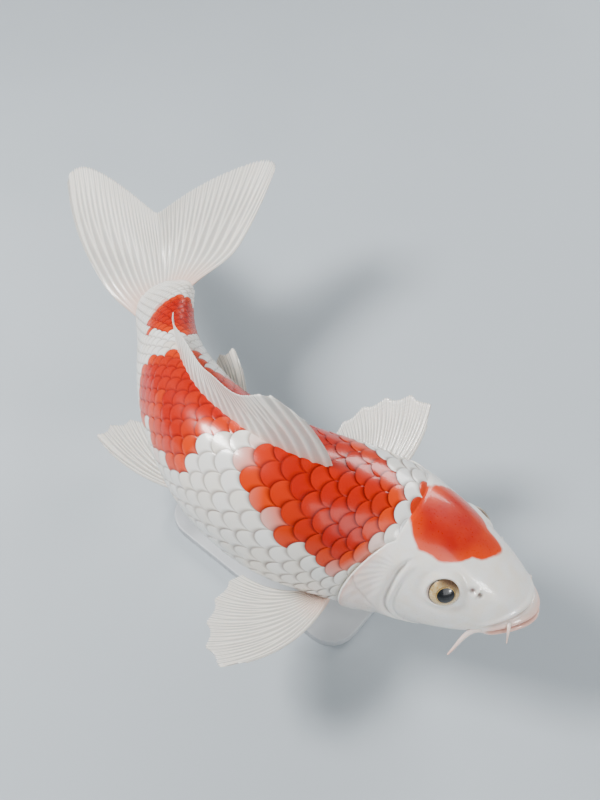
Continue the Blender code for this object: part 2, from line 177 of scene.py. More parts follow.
def grid_faces(rows, columns, closed=False):
    i, j = np.meshgrid(np.arange(rows - 1), np.arange(columns if closed else columns - 1),
                       indexing="ij")
    k = (j + 1) % columns
    quads = [i * columns + j, (i + 1) * columns + j, (i + 1) * columns + k, i * columns + k]
    return np.stack(quads, -1).reshape(-1, 4)


def next_round(ring):
    """Each point of a closed ring paired with the next."""
    ring = list(ring)
    return zip(ring, ring[1:] + ring[:1])


def pod_faces(rows, columns):
    """The faces of rings that close in a point at each end. The two points come last."""
    last, tip = (rows - 1) * columns, rows * columns
    return (grid_faces(rows, columns, closed=True).tolist()
            + [(tip, a, b) for a, b in next_round(range(columns))]
            + [(tip + 1, b, a) for a, b in next_round(range(last, tip))])


def slab_faces(rows, columns):
    """The faces of a thin slab: its upper side's points come first, then its lower side's."""
    quads, each = grid_faces(rows, columns), rows * columns
    grid = np.arange(each).reshape(rows, columns)
    border = [*grid[0], *grid[1:, -1], *grid[-1, -2::-1], *grid[-2:0:-1, 0]]
    rim = [(b, a, a + each, b + each) for a, b in next_round(border)]
    return np.concatenate([quads[:, ::-1], quads + each, rim])


def add_mesh(name, verts, faces, look, bake=None, crease=None, **fields):
    """An object from points and faces. Each field is a value or vector kept at every point."""
    mesh = bpy.data.meshes.new(name)
    mesh.from_pydata(np.asarray(verts).reshape(-1, 3).tolist(), [], [list(f) for f in faces])
    for field, values in fields.items():
        values = np.asarray(values, np.float32)
        kind, part = ("FLOAT", "value") if values.ndim == 1 else ("FLOAT_VECTOR", "vector")
        mesh.attributes.new(field, kind, "POINT").data.foreach_set(part, values.ravel())
    if bake is not None:
        mesh.uv_layers.new(name="OFBake").uv.foreach_set("vector", np.ravel(bake))
    solid = bmesh.new()
    solid.from_mesh(mesh)
    if solid.calc_volume(signed=True) < 0:
        mesh.flip_normals()
    solid.free()
    mesh.shade_smooth()
    if crease:
        mesh.set_sharp_from_angle(angle=math.radians(crease))
    thing = bpy.data.objects.new(name, mesh)
    bpy.context.scene.collection.objects.link(thing)
    mesh.materials.append(look)
    return thing


# Shapes of the head: depths and radii in metres, stations in standard lengths from the snout,
# angles in degrees from the back
COAT = 0.0017                 # depth of the scales over their bed where the fish is thickest
HEAD_SINK = 0.0003
GILL_ANGLES = (40.0, 150.0)
GILL_REAR, GILL_BULGE = 0.246, 0.066
GILL_FRONT = 0.205
NAPE, THROAT = 0.236, 0.236
THICKEST = 0.1432             # mean radius where the fish is thickest, in standard lengths
FLAP = 0.0025                 # how far the flap's rear edge stands off
EYE_RADIUS, EYE_SINK = 0.0150, 0.0098
EYE_STATION, EYE_ANGLE = 0.147, 60.0
MOUTH_LINE = ((-0.02, 0.011), (0.028, -0.002), (0.066, -0.020), (0.12, -0.048))
MOUTH_CORNER = 0.029
NOSTRILS = ((0.0935, 47.0, 0.0017, 0.0017), (0.1055, 46.0, 0.0026, 0.0019))
CHEEK_LINE = ((36, 0.196), (46, 0.212), (64, 0.225), (85, 0.227), (110, 0.208), (130, 0.170),
              (150, 0.130))
OPERCLE_SEAM = ((50, 0.312), (60, 0.307), (72, 0.300), (82, 0.286), (92, 0.262), (104, 0.232))
cheek_line, opercle_seam = curve_through(CHEEK_LINE), curve_through(OPERCLE_SEAM)
mouth_height = curve_through([(x * STANDARD_LENGTH, z * STANDARD_LENGTH) for x, z in MOUTH_LINE])


def scaled_from(angle):
    """The station where the bare head ends: the gill opening, the nape over it, the throat."""
    angle = np.abs(angle)
    t = np.clip((angle - GILL_ANGLES[0]) / (GILL_ANGLES[1] - GILL_ANGLES[0]), 0, 1)
    rear = GILL_REAR + GILL_BULGE * np.sin(np.pi * t) ** 0.8
    nape = NAPE + (GILL_REAR - NAPE) * ease(angle, 0, GILL_ANGLES[0])
    throat = GILL_REAR + (THROAT - GILL_REAR) * ease(angle, GILL_ANGLES[1], 180)
    return np.where(angle < GILL_ANGLES[0], nape, np.where(angle > GILL_ANGLES[1], throat, rear))


def flap_at(angle):
    angle = np.abs(angle)
    return ease(angle, GILL_ANGLES[0] + 1, GILL_ANGLES[0] + 16) * (1 - ease(angle, 136, 152))


def girth_share(station):
    """How thick the fish is at a station, as a share of its thickest."""
    tall = (back_of(station) + belly_of(station)) / 2
    return np.sqrt((tall ** 2 + flank_of(station) ** 2) / 2) / THICKEST


def bed_at(station):
    return -COAT * girth_share(station) ** 0.45


def eye_frame(side):
    """The eyeball's centre on the straight fish, and the directions back, up and outward."""
    def at(s, a):
        return flesh(s, side * a)
    back = at(EYE_STATION + 0.01, EYE_ANGLE) - at(EYE_STATION - 0.01, EYE_ANGLE)
    upward = at(EYE_STATION, EYE_ANGLE - 4) - at(EYE_STATION, EYE_ANGLE + 4)
    outward = unit(np.cross(-back, upward) * side)
    back = unit(back)
    centre = at(EYE_STATION, EYE_ANGLE) - outward * EYE_SINK
    return centre, back, np.cross(back, outward) * side, outward


def head_relief(points, station, angle):
    """How far each point of the head is raised, how much painted shade it has, and how flushed it
    is.
    """
    x, y, z = (points[..., k] for k in range(3))
    wide = np.abs(y)
    raised = np.zeros_like(x)
    hollow = np.zeros_like(x)

    # the lips, the slit between them and the folds that let the jaws reach forward
    height = (z - mouth_height(x)) * 0.93
    mouth = 1 - ease(x, MOUTH_CORNER - 0.004, MOUTH_CORNER)
    lips = 1 - ease(x, MOUTH_CORNER - 0.006, MOUTH_CORNER + 0.003)
    slit = bell(height, 0.0012) * mouth
    raised += 0.0022 * bell(height - 0.0036, 0.0028) * lips
    raised += 0.0030 * bell(height + 0.0038, 0.0032) * lips
    raised += 0.0016 * bell(np.hypot(x - MOUTH_CORNER - 0.001, height), 0.0045)
    raised -= 0.0050 * slit
    fold = 0.0105 - 0.0030 * ease(x, 0.005, 0.030)
    snout_fold = bell(height - fold, 0.0011) * (1 - ease(x, 0.026, 0.036))
    chin_fold = bell(height + 0.0085, 0.0016) * (1 - ease(x, 0.018, 0.030))
    raised -= 0.0019 * snout_fold + 0.0012 * chin_fold
    raised += 0.0010 * bell(height - fold - 0.0035, 0.0028) * (1 - ease(x, 0.026, 0.040))
    # painted shade darkens the slit between the lips and the snout's fold
    hollow += 1.6 * slit + 0.35 * snout_fold

    # nostrils: a small front opening and a larger one behind a flap of skin
    for s, a, long, tall in NOSTRILS:
        centre = flesh(s, a)
        pit = bell(np.hypot((x - centre[0]) / long, np.hypot(wide - centre[1],
                                                             z - centre[2]) / tall), 1.0)
        raised -= 0.0028 * pit
        # painted shade darkens each nostril's pit
        hollow += 0.9 * pit
    ridge = flesh((NOSTRILS[0][0] + NOSTRILS[1][0]) / 2 - 0.0005, NOSTRILS[0][1])
    across = np.hypot(wide - ridge[1], z - ridge[2])
    raised += 0.0017 * bell(x - ridge[0], 0.0011) * bell(across, 0.0030)

    # the rim round each eye, and the hollow that the eyeball sits in
    for side in (1, -1):
        centre, back, upward, outward = eye_frame(side)
        away = points - centre
        out = away @ outward
        far = np.linalg.norm(away - out[..., None] * outward, axis=-1)
        near = out > 0
        opening = math.sqrt(EYE_RADIUS ** 2 - EYE_SINK ** 2)
        rim = bell(far - opening - 0.0012, 0.0016) - 0.5 * bell(far - opening - 0.0062, 0.0026)
        brow = bell(far - opening - 0.0030, 0.0034) * np.clip(away @ upward / 0.010, 0, 1)
        raised += near * (0.0011 * rim + 0.0012 * brow)
        raised -= near * 0.0060 * (1 - ease(far, opening - 0.0016, opening + 0.0001))

    # gill cover: cheek fold, crescent folds, the plate's dome, its seams and radiating ribs
    turned = np.abs(angle)
    front = cheek_line(turned) * STANDARD_LENGTH
    shown = ease(turned, 42, 58) * (1 - ease(turned, 128, 142))
    crease = bell(x - front, 0.0017) * shown
    inner = bell(x - front + 0.0068, 0.0012) * ease(turned, 58, 76) * (1 - ease(turned, 100, 114))
    raised -= 0.0021 * crease + 0.0011 * inner
    raised += 0.0010 * bell(x - front + 0.0042, 0.0028) * shown
    raised += 0.0012 * bell(x - front - 0.0060, 0.0055) * shown
    rear = scaled_from(angle) * STANDARD_LENGTH
    seam = bell(x - opercle_seam(turned) * STANDARD_LENGTH, 0.0013)
    seam = seam * ease(turned, 56, 64) * (1 - ease(turned, 94, 104))
    raised -= 0.0012 * seam
    fan = np.arctan2((turned - 56) * 0.0011, x - front + 0.006)
    raised += 0.00016 * np.sin(fan * 34) * ease(x, front + 0.004, front + 0.012) * shown
    # painted shade darkens the gill cover's creases, inner fold and seam
    hollow += 0.35 * crease + 0.25 * seam + 0.2 * inner

    # bones under the crown, the hollow between eye and nose, and the jaw's lower edge
    raised += 0.0010 * bell(x - 0.088, 0.022) * bell(wide - 0.018, 0.010) * (z > 0)
    raised -= 0.0009 * bell(x - 0.050, 0.012) * bell(turned - 58, 14)
    raised -= 0.0010 * bell(x - 0.060, 0.028) * bell(turned - 138, 4)
    raised -= 0.0008 * bell(x - 0.078, 0.024) * bell(turned - 171, 3)
    gills = bell(x - front - 0.024, 0.017) * bell(turned - 86, 30) * shown
    flush = bell(height, 0.0075) * lips + 0.7 * bell(rear - x, 0.0045) * shown + 0.30 * gills
    return raised, np.clip(hollow, 0, 1), np.clip(flush, 0, 1)


def body_angles(count):
    """Angles round the body, closer together where the eyes, mouth and gill covers are."""
    fine = np.linspace(-180, 180, 1441)
    weight = 1 + 1.2 * ease(np.abs(fine), 28, 40) * (1 - ease(np.abs(fine), 126, 140))
    total = np.concatenate([[0], np.cumsum((weight[1:] + weight[:-1]) / 2)])
    return np.interp(np.arange(count) / count * total[-1], total, fine)


def skin_grid(head_rows, trunk_rows, columns):
    """Rows of (station, lift) down the fish: the head, the flap's fold, and the scales' bed."""
    angles = body_angles(columns)
    rear, flap = scaled_from(angles), flap_at(angles)
    mm = 0.001 / STANDARD_LENGTH
    stations, lifts = [], []
    for p in np.linspace(0, 1, head_rows)[1:]:
        s = (0.12 * p + 0.88 * p * p) * (rear - 2.0 * mm)
        plate = ease(s, GILL_FRONT, rear) * FLAP * flap
        stations.append(s)
        lifts.append(plate - HEAD_SINK)
    bed = bed_at(rear)
    # each step of the fold: how far behind the edge, in millimetres, and its height, for the
    # free flap and for the plain nape
    steps = ((-1.1, 1.00, -1.4, 1.00), (-0.4, 0.96, -0.8, 0.95), (0.0, 0.78, -0.2, 0.85),
             (0.0, 0.56, 0.4, 0.68), (-0.7, 0.46, 1.0, 0.48), (-2.2, 0.40, 1.6, 0.28),
             (-4.4, 0.30, 2.2, 0.12), (-4.4, 0.00, 2.8, 0.0), (-1.0, 0.00, 3.4, 0.0))
    for dx, high, plain_dx, plain_high in steps:
        stations.append(rear + (dx * flap + plain_dx * (1 - flap)) * mm)
        free = high * (FLAP - HEAD_SINK - bed) + bed
        plain = plain_high * (-HEAD_SINK - bed) + bed
        lifts.append(free * flap + plain * (1 - flap))
    last = stations[-1] + 2 * mm
    for p in np.linspace(0, 1, trunk_rows)[:-1]:
        s = last + (STALK_END - last) * (1 - (1 - p) ** 1.25)
        stations.append(s)
        lifts.append(bed_at(s))
    return np.array(stations), np.array(lifts), np.tile(angles, (len(stations), 1))


HEAD_ROWS, TRUNK_ROWS, SKIN_COLUMNS = 200, 74, 330
station, lift, angle = skin_grid(HEAD_ROWS, TRUNK_ROWS, SKIN_COLUMNS)
straight = flesh(station, angle, lift)
outward = np.cross(np.gradient(straight, axis=0),
                   np.roll(straight, -1, axis=1) - np.roll(straight, 1, axis=1))
outward /= np.linalg.norm(outward, axis=2)[..., None] + 1e-12
outward *= np.sign(np.sum(outward * (straight * (0, 1, 1)), axis=2))[..., None]
raised, hollow, flush = head_relief(straight, station, angle)
ahead = np.arange(len(station))[:, None] < HEAD_ROWS - 1
raised, hollow, flush = raised * ahead, hollow * ahead, flush * ahead
# past the last scales the skin already shows the rays of the tail fin, and their pink
fin_base = ease(station, 0.995, 1.025)
raised += 0.0004 * fin_base * np.cos(2 * np.pi * straight[..., 2] / 0.0034)
flush += 0.35 * fin_base
straight = straight + outward * raised[..., None]
rows = len(station)
tips = [[straight[0, :, 0].mean() - 0.0001, 0, 0], [STALK_END * STANDARD_LENGTH, 0, 0]]
places = np.concatenate([straight.reshape(-1, 3), tips])
# unwrapped from the snout to the tail: length across, girth up
j = np.arange(SKIN_COLUMNS)
i = np.arange(rows - 1)[:, None]
strips = (((i + 1, j), (i + 2, j), (i + 2, j + 1), (i + 1, j + 1)),
          ((0, j + 0.5), (1, j), (1, j + 1)), ((rows + 1, j + 0.5), (rows, j + 1), (rows, j)))
skin_map = np.concatenate([joined(*(joined(*corner) for corner in strip)).swapaxes(-1, -2)
                           .reshape(-1, 2) for strip in strips]) / (rows + 1, SKIN_COLUMNS)


def plug(value, socket):
    """Gives a socket a value or another node's output."""
    if isinstance(value, bpy.types.NodeSocket):
        socket.id_data.links.new(value, socket)
    elif value is not None:
        socket.default_value = value


def feed(shader, **values):
    """Fills a node's sockets by name: base_color stands for Base Color."""
    for key, value in values.items():
        plug(value, shader.inputs[key.replace("_", " ").title()])


def node(tree, kind, *values, **settings):
    """A shader node, its inputs filled in order with values or with other nodes' outputs."""
    made = tree.nodes.new("ShaderNode" + kind)
    for key, value in settings.items():
        setattr(made, key, value)
    for socket, value in zip(made.inputs, values):
        plug(value, socket)
    return made


def sums(tree, operation, *values):
    return node(tree, "Math", *values, operation=operation).outputs[0]


def times(tree, one, other):
    return sums(tree, "MULTIPLY", one, other)


def mixed(tree, share, one, other, kind="RGBA"):
    """Colours or numbers mixed by a share."""
    made = node(tree, "Mix", share, data_type=kind)
    first, result = {"RGBA": (6, 2), "FLOAT": (2, 0)}[kind]
    for k, value in enumerate((one, other), first):
        plug((*value, 1) if isinstance(value, tuple) else value, made.inputs[k])
    return made.outputs[result]


def spread(tree, value, low, high, to_low=0.0, to_high=1.0):
    return node(tree, "MapRange", value, low, high, to_low, to_high).outputs[0]


def noise(tree, where, scale, detail=2.0, roughness=0.5):
    return node(tree, "TexNoise", where, None, scale, detail, roughness).outputs[0]


def bumped(tree, height, strength, distance):
    """A surface's normals, tilted by the slope of a height."""
    made = node(tree, "Bump", strength, distance)
    plug(height, made.inputs["Height"])
    return made.outputs[0]


def new_look(name, **constants):
    """A material with its surface node, whose plain sockets are set to constants."""
    look = bpy.data.materials.new(name)
    look.use_nodes = True
    surface = look.node_tree.nodes["Principled BSDF"]
    feed(surface, **constants)
    return look, look.node_tree, surface


# Each red patch: its middle on the straight fish and how far it reaches, in metres
RED_PATCHES = (((0.083, 0.000, 0.056), (0.045, 0.031, 0.030)),
               ((0.168, 0.020, 0.070), (0.046, 0.052, 0.062)),
               ((0.196, -0.018, 0.075), (0.040, 0.056, 0.070)),
               ((0.268, -0.026, 0.066), (0.034, 0.050, 0.072)),
               ((0.296, 0.014, 0.066), (0.040, 0.050, 0.068)),
               ((0.336, 0.020, 0.040), (0.026, 0.040, 0.050)),
               ((0.408, -0.004, 0.036), (0.026, 0.026, 0.044)))
HI_RED, HI_ORANGE = (0.50, 0.022, 0.006), (0.72, 0.075, 0.010)
SNOW, CREAM, BLUSH = (0.82, 0.80, 0.765), (0.80, 0.735, 0.64), (0.80, 0.47, 0.38)

markings = bpy.data.node_groups.new("koi markings", "ShaderNodeTree")
for way, socket, kind in (("INPUT", "Place", "Vector"), ("INPUT", "Flush", "Float"),
                          ("OUTPUT", "Colour", "Color"), ("OUTPUT", "Red", "Float")):
    markings.interface.new_socket(socket, in_out=way, socket_type="NodeSocket" + kind)
where, flushed = markings.nodes.new("NodeGroupInput").outputs[:2]
wander = noise(markings, where, 22.0, 2.5)
moved = node(markings, "VectorMath", where, (3.1, 1.7, 0.4)).outputs[0]
wander_too = noise(markings, moved, 60.0, 2.0)
field = None
for middle, reach in RED_PATCHES:
    away = node(markings, "VectorMath", where, middle, operation="SUBTRACT").outputs[0]
    away = node(markings, "VectorMath", away, reach, operation="DIVIDE").outputs[0]
    length = node(markings, "VectorMath", away, operation="LENGTH").outputs[1]
    inside = sums(markings, "SUBTRACT", 1.0, length)
    field = inside if field is None else sums(markings, "SMOOTH_MAX", field, inside, 0.16)
field = sums(markings, "ADD", field, spread(markings, wander, 0.2, 0.8, -0.30, 0.30))
field = sums(markings, "ADD", field, spread(markings, wander_too, 0.2, 0.8, -0.07, 0.07))
red = spread(markings, field, -0.02, 0.05)
tone = noise(markings, where, 90.0, 3.0)
deep = times(markings, spread(markings, field, 0.0, 0.45),
             spread(markings, tone, 0.3, 0.6, 0.75, 1.0))
red_colour = mixed(markings, deep, HI_ORANGE, HI_RED)
white_colour = mixed(markings, spread(markings, tone, 0.35, 0.75), SNOW, CREAM)
white_colour = mixed(markings, flushed, white_colour, BLUSH)
gives = markings.nodes.new("NodeGroupOutput")
feed(gives, colour=mixed(markings, red, white_colour, red_colour), red=red)


def placed(tree, field, part="Vector"):
    return node(tree, "Attribute", attribute_name=field).outputs[part]


def koi_colours(tree, flushed):
    """The colour at each place of the fish, and how red it is there."""
    return node(tree, "Group", placed(tree, "place"), flushed, node_tree=markings).outputs


skin_look, tree, surface = new_look("koi_skin", coat_roughness=0.10, subsurface_weight=0.12,
                                    subsurface_scale=0.004, subsurface_radius=(1.0, 0.45, 0.25))
colour = koi_colours(tree, placed(tree, "flush", "Fac"))[0]
hollow_in = placed(tree, "hollow", "Fac")
# painted shade: the skin darkens towards a deep red-brown in its creases, slits and pits
colour = mixed(tree, spread(tree, hollow_in, 0.15, 1.0, 0.0, 0.92), colour, (0.16, 0.035, 0.025))
where = placed(tree, "place")
freckle = noise(tree, where, 700.0, 3.0)
pores = node(tree, "TexVoronoi", where, None, 420.0, feature="F1").outputs["Distance"]
grainy = sums(tree, "ADD", times(tree, pores, 0.5), freckle)
feed(surface, base_color=colour, roughness=spread(tree, freckle, 0.3, 0.7, 0.26, 0.42),
     coat_weight=spread(tree, freckle, 0.3, 0.7, 0.65, 0.45),
     normal=bumped(tree, grainy, 0.10, 0.0006))

skin = add_mesh("koi_skin", bend(places), pod_faces(rows, SKIN_COLUMNS), skin_look,
                bake=skin_map, place=places, hollow=np.append(hollow, [0, 0]),
                flush=np.append(flush, [0, 0]))
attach(skin, "root")
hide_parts("head", "lower_jaw", "chest", "loin", "tail_stalk",
            "gill_cover_right", "gill_cover_left")

# ---- The scales ----
# Thin bony plates, each rooted in a pocket of the skin and lying over the two behind it, as
# tiles do. They shrink towards the tail, and one row on each flank carries the pores of the
# lateral line. Their rear edges are rounded.
SCALES_ROUND = 20              # scales in one ring round the body
EXPOSED = 0.47                 # how far one ring shows past the next, in scale widths
COVERED = 2.55                 # a scale's whole length, in exposed lengths
SCALE_HALF = 0.515             # half a scale's breadth, in scale widths
SCALE_LONG = COVERED * EXPOSED / SCALE_HALF
EDGE_DEPTH = 0.96              # how far its rounded edge falls back at the sides, in half-widths
SCALE_THICK, WIDEST_SCALE = 0.00046, 0.0206    # of the largest scales, in metres
ACROSS, ALONG = 13, 9
SCALE_PIECES = 4


def girth_table():
    """Angles round the body by station and share of the girth, from the belly's middle round."""
    stations = np.linspace(0.20, 1.04, 169)
    angles = np.linspace(-180, 180, 721)
    shares = np.linspace(-0.5, 0.5, 401)
    section = flesh(stations[:, None], angles[None, :])
    steps = np.linalg.norm(np.diff(section, axis=1), axis=2)
    total = np.concatenate([np.zeros((len(stations), 1)), np.cumsum(steps, 1)], 1)
    table = np.array([np.interp(shares, t / t[-1] - 0.5, angles) for t in total])
    return stations, shares, table, total[:, -1]


TABLE_STATIONS, TABLE_SHARES, ANGLE_TABLE, GIRTHS = girth_table()


def angle_of(station, share):
    """The angle round the body of a share of its girth, 0 on the back."""
    wrapped = (share + 0.5) % 1.0 - 0.5
    s = np.clip((station - TABLE_STATIONS[0]) / (TABLE_STATIONS[1] - TABLE_STATIONS[0]),
                0, len(TABLE_STATIONS) - 1.001)
    f = np.clip((wrapped + 0.5) * (len(TABLE_SHARES) - 1), 0, len(TABLE_SHARES) - 1.001)
    i, j = s.astype(int), f.astype(int)
    s, f = s - i, f - j
    low = ANGLE_TABLE[i, j] * (1 - f) + ANGLE_TABLE[i, j + 1] * f
    high = ANGLE_TABLE[i + 1, j] * (1 - f) + ANGLE_TABLE[i + 1, j + 1] * f
    return low * (1 - s) + high * s


def scaled_to(angle):
    """The station where the scales end, in an arch over the root of the tail fin."""
    return 0.986 + 0.046 * np.abs(np.sin(np.radians(angle))) ** 1.5


def scale_sites(rng):
    """Root station, share of the girth, width, lateral-line flag and chances for each scale."""
    sites = []
    station, ring = 0.19, 0
    while station < 1.02:
        width = float(np.interp(station, TABLE_STATIONS, GIRTHS)) / SCALES_ROUND
        for k in range(SCALES_ROUND):
            share = (k + 0.5 * (ring % 2)) / SCALES_ROUND
            share = share - 1 if share >= 0.5 else share
            chances = rng.random(4)
            sites.append((station, share, width, abs(abs(share) - 0.25) < 0.001, *chances))
        station += EXPOSED * width / STANDARD_LENGTH
        ring += 1
    return np.array(sites)


# arrays run over scales, then steps along a scale (p), then steps across it (q)
rng = np.random.default_rng(7)
root, share, width, on_line, *chance = scale_sites(rng).T[..., None, None]
length = COVERED * EXPOSED * width * (0.99 + 0.02 * chance[0])
edge_station = root + length / STANDARD_LENGTH
middle_angle = angle_of(edge_station, share)
showing = (edge_station - scaled_from(middle_angle)) * STANDARD_LENGTH > 0.16 * length
showing &= edge_station < scaled_to(middle_angle)
root, share, width, on_line, length, *chance = (
    a[showing.ravel()] for a in (root, share, width, on_line, length, *chance))

q = np.sin(np.linspace(-1, 1, ACROSS) * np.pi / 2)[None, None, :]
p = (1 - (1 - np.linspace(0, 1, ALONG)) ** 1.35)[None, :, None]
half = width * SCALE_HALF
# the free edge is nearly a half circle
edge = length - EDGE_DEPTH * half * (1 - np.sqrt(np.maximum(1 - q ** 2, 0)))
edge = edge - 0.10 * half * q * (chance[1] - 0.5)
lie = np.radians(5) * (chance[2] - 0.5)
girth_here = np.interp(root, TABLE_STATIONS, GIRTHS)
bare = scaled_from(angle_of(root + 0 * q, share + half * q / girth_here))
start = np.maximum(0, (bare - root) * STANDARD_LENGTH - 0.0030)
start = np.minimum(start, edge - 0.0006)
along = start + p * (edge - start)
across = half * q * (0.90 + 0.10 * ease(along / length, 0.1, 0.6)) + lie * (along - 0.6 * length)
station = root + along / STANDARD_LENGTH
turned = angle_of(station, share + across / girth_here)
size = (width / WIDEST_SCALE) ** 0.45
rise = COAT * size * (along / length) * (0.97 + 0.06 * chance[3])
rise = rise - 0.10 * COAT * size * q ** 2
thick = SCALE_THICK * size * (1 - 0.45 * ease(p, 0.86, 1.0))
# the first scales slope down under the edge of the bare skin
behind = (station - bare) * STANDARD_LENGTH
tucked = ease(behind, -0.002, 0.006)
# how much painted pocket shadow a scale gets: none right behind the bare head and none at the
# tail's end
covered = ease(behind, 0.001, 0.010) * (1 - ease(station, 0.985, 1.010))
ridge = on_line * bell(q, 0.22) * ease(p, 0.45, 0.60) * (1 - ease(p, 0.80, 0.92))
rise = (rise + 0.0006) * tucked - 0.0006
top = bed_at(station) + rise + thick + 0.00045 * size * ridge
under = bed_at(station) + rise - 0.0001 * size
# from here on a second axis holds a scale's two faces
straight = np.stack([flesh(station, turned, face) for face in (top, under)], 1)
middle = root + 0.72 * length / STANDARD_LENGTH
place = flesh(middle, angle_of(middle, share))[:, None] * 0.94 + straight * 0.06
grain = joined(along / half, q, chance[0])
grain, covered = (np.stack([field, field], 1) for field in (grain, covered))
scale_faces = slab_faces(ALONG, ACROSS)
# each scale's patch in the bake map lies at its root's place on the skin's unwrap
PATCH = 0.003
flat = np.concatenate([joined(p[0] * 0.48 + 0.52 * side, q[0] / 2 + 0.5).reshape(-1, 2)
                       for side in (0, 1)]) * PATCH
at_root = joined(0.02 + 0.95 * root / STALK_END, (share + 0.5) * 0.98 + 0.008)

scale_look, tree, surface = new_look("koi_scales", coat_roughness=0.12, subsurface_weight=0.08,
                                     subsurface_scale=0.002, subsurface_radius=(1.0, 0.5, 0.3))
colour, red = koi_colours(tree, 0.0)
down_scale, sideways, luck = node(tree, "SeparateXYZ", placed(tree, "grain")).outputs


def edge_arc(tree, sideways, tip):
    """How far down the scale, in half-widths, a rounded edge lies whose tip is at a place."""
    squared = times(tree, sideways, sideways)
    drop = sums(tree, "SQRT", sums(tree, "MAXIMUM", sums(tree, "SUBTRACT", 1.0, squared), 0.0))
    return sums(tree, "ADD", tip - EDGE_DEPTH, times(tree, drop, EDGE_DEPTH))


own_edge = edge_arc(tree, sideways, SCALE_LONG)
aside = sums(tree, "SUBTRACT", sums(tree, "ABSOLUTE", sideways), 1 / (2 * SCALE_HALF))
cover = edge_arc(tree, aside, SCALE_LONG - EXPOSED / SCALE_HALF)
from_edge = sums(tree, "SUBTRACT", own_edge, down_scale)
from_cover = sums(tree, "SUBTRACT", down_scale, cover)
# the small scales of the tail keep their painted shadow and shade lines nearly as broad as the
# large ones
tailward = node(tree, "SeparateXYZ", placed(tree, "place")).outputs[0]
finer = spread(tree, tailward, 0.24, 0.42, 1.0, 0.55)
# painted shadow: a scale darkens under and just past the edges of the scales that lie over it
painted_pocket_shadow = spread(tree, times(tree, from_cover, finer), -0.02, 0.42, 1.0, 0.0)
painted_pocket_shadow = times(tree, sums(tree, "POWER", painted_pocket_shadow, 2.0), placed(tree, "covered", "Fac"))
# painted shade: a thin darker line along each scale's own free edge
painted_rim_shade = spread(tree, times(tree, from_edge, finer), 0.020, 0.075, 1.0, 0.0)
rings = sums(tree, "SINE", times(tree, from_edge, 62.0))
rays = sums(tree, "SINE", times(tree, sideways, 34.0))
rays = times(tree, rays, spread(tree, from_edge, 0.7, 0.1))
# the darker colour that each scale's random tone and its painted shadow and shade mix towards
tone_and_painted_shade = mixed(tree, red, (0.22, 0.17, 0.14), (0.14, 0.006, 0.004))
# a little random darker tone, then the painted pocket shadow, then the painted rim shade
for tone_and_shade_share in (spread(tree, luck, 0.0, 1.0, 0.0, 0.08), times(tree, painted_pocket_shadow, 0.86),
                     times(tree, painted_rim_shade, 0.45)):
    colour = mixed(tree, tone_and_shade_share, colour, tone_and_painted_shade)
relief = sums(tree, "ADD", times(tree, rings, 0.16), times(tree, rays, 0.4))
feed(surface, base_color=colour, roughness=spread(tree, rings, -1.0, 1.0, 0.27, 0.31),
     coat_weight=spread(tree, from_cover, 0.0, 0.6, 0.15, 0.50),
     normal=bumped(tree, relief, 0.08, 0.0003))

order = np.argsort(root.ravel(), kind="stable")
for number, chosen in enumerate(np.array_split(order, SCALE_PIECES), 1):
    faces = scale_faces + np.arange(len(chosen))[:, None, None] * 2 * ALONG * ACROSS
    scales = add_mesh("koi_scales_%d" % number, bend(straight[chosen]),
                      faces.reshape(-1, 4).tolist(), scale_look, crease=55,
                      bake=at_root[chosen] + flat[scale_faces], place=place[chosen],
                      covered=covered[chosen].ravel(), grain=grain[chosen])
    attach(scales, "root")

# ---- The eyes ----
# Domed eyes set in the orbits: a black pupil with a fine gold edge, a pale gold iris that is
# darker above, and a dark ring where it meets the white.
EYE_TURNS, EYE_RINGS = 64, 40
PUPIL, IRIS_DARK, IRIS_EDGE = 0.43, 0.51, 0.775
PUPIL_BLACK, RING_DARK, EYE_WHITE = (0.003, 0.003, 0.004), (0.03, 0.02, 0.015), (0.55, 0.42, 0.36)
GAZE_UP, GAZE_AHEAD = 4.0, 7.0    # degrees that the pupils turn up and forward

eye_look, tree, surface = new_look("koi_eye", coat_weight=1.0, coat_roughness=0.02)
gaze = node(tree, "SeparateXYZ", placed(tree, "gaze"))
flat_gaze = node(tree, "CombineXYZ", gaze.outputs[0], gaze.outputs[1]).outputs[0]
reach = node(tree, "VectorMath", flat_gaze, operation="LENGTH").outputs[1]
spoke = sums(tree, "ARCTAN2", gaze.outputs[1], gaze.outputs[0])
streak = node(tree, "CombineXYZ", times(tree, spoke, 7.0), times(tree, reach, 5.0)).outputs[0]
streaks = noise(tree, streak, 1.6, 3.0)
iris = mixed(tree, spread(tree, streaks, 0.35, 0.65), (0.80, 0.66, 0.40), (0.60, 0.36, 0.12))
iris = mixed(tree, spread(tree, gaze.outputs[1], 0.25, 0.62), iris, (0.16, 0.09, 0.05))
inner_ring = sums(tree, "SUBTRACT", 1.0, spread(tree, reach, PUPIL + 0.015, IRIS_DARK))
iris = mixed(tree, inner_ring, iris, (0.10, 0.045, 0.02))
gold = times(tree, spread(tree, reach, PUPIL - 0.005, PUPIL + 0.005),
             spread(tree, reach, PUPIL + 0.015, PUPIL + 0.03, 1.0, 0.0))
iris = mixed(tree, gold, iris, (0.75, 0.50, 0.16))
colour = mixed(tree, spread(tree, reach, PUPIL - 0.006, PUPIL + 0.004), PUPIL_BLACK, iris)
colour = mixed(tree, spread(tree, reach, IRIS_EDGE - 0.045, IRIS_EDGE), colour, RING_DARK)
colour = mixed(tree, spread(tree, reach, IRIS_EDGE + 0.01, IRIS_EDGE + 0.05), colour, EYE_WHITE)
shine = times(tree, spread(tree, reach, PUPIL, PUPIL + 0.02),
              spread(tree, reach, IRIS_EDGE - 0.04, IRIS_EDGE, 0.45, 0.0))
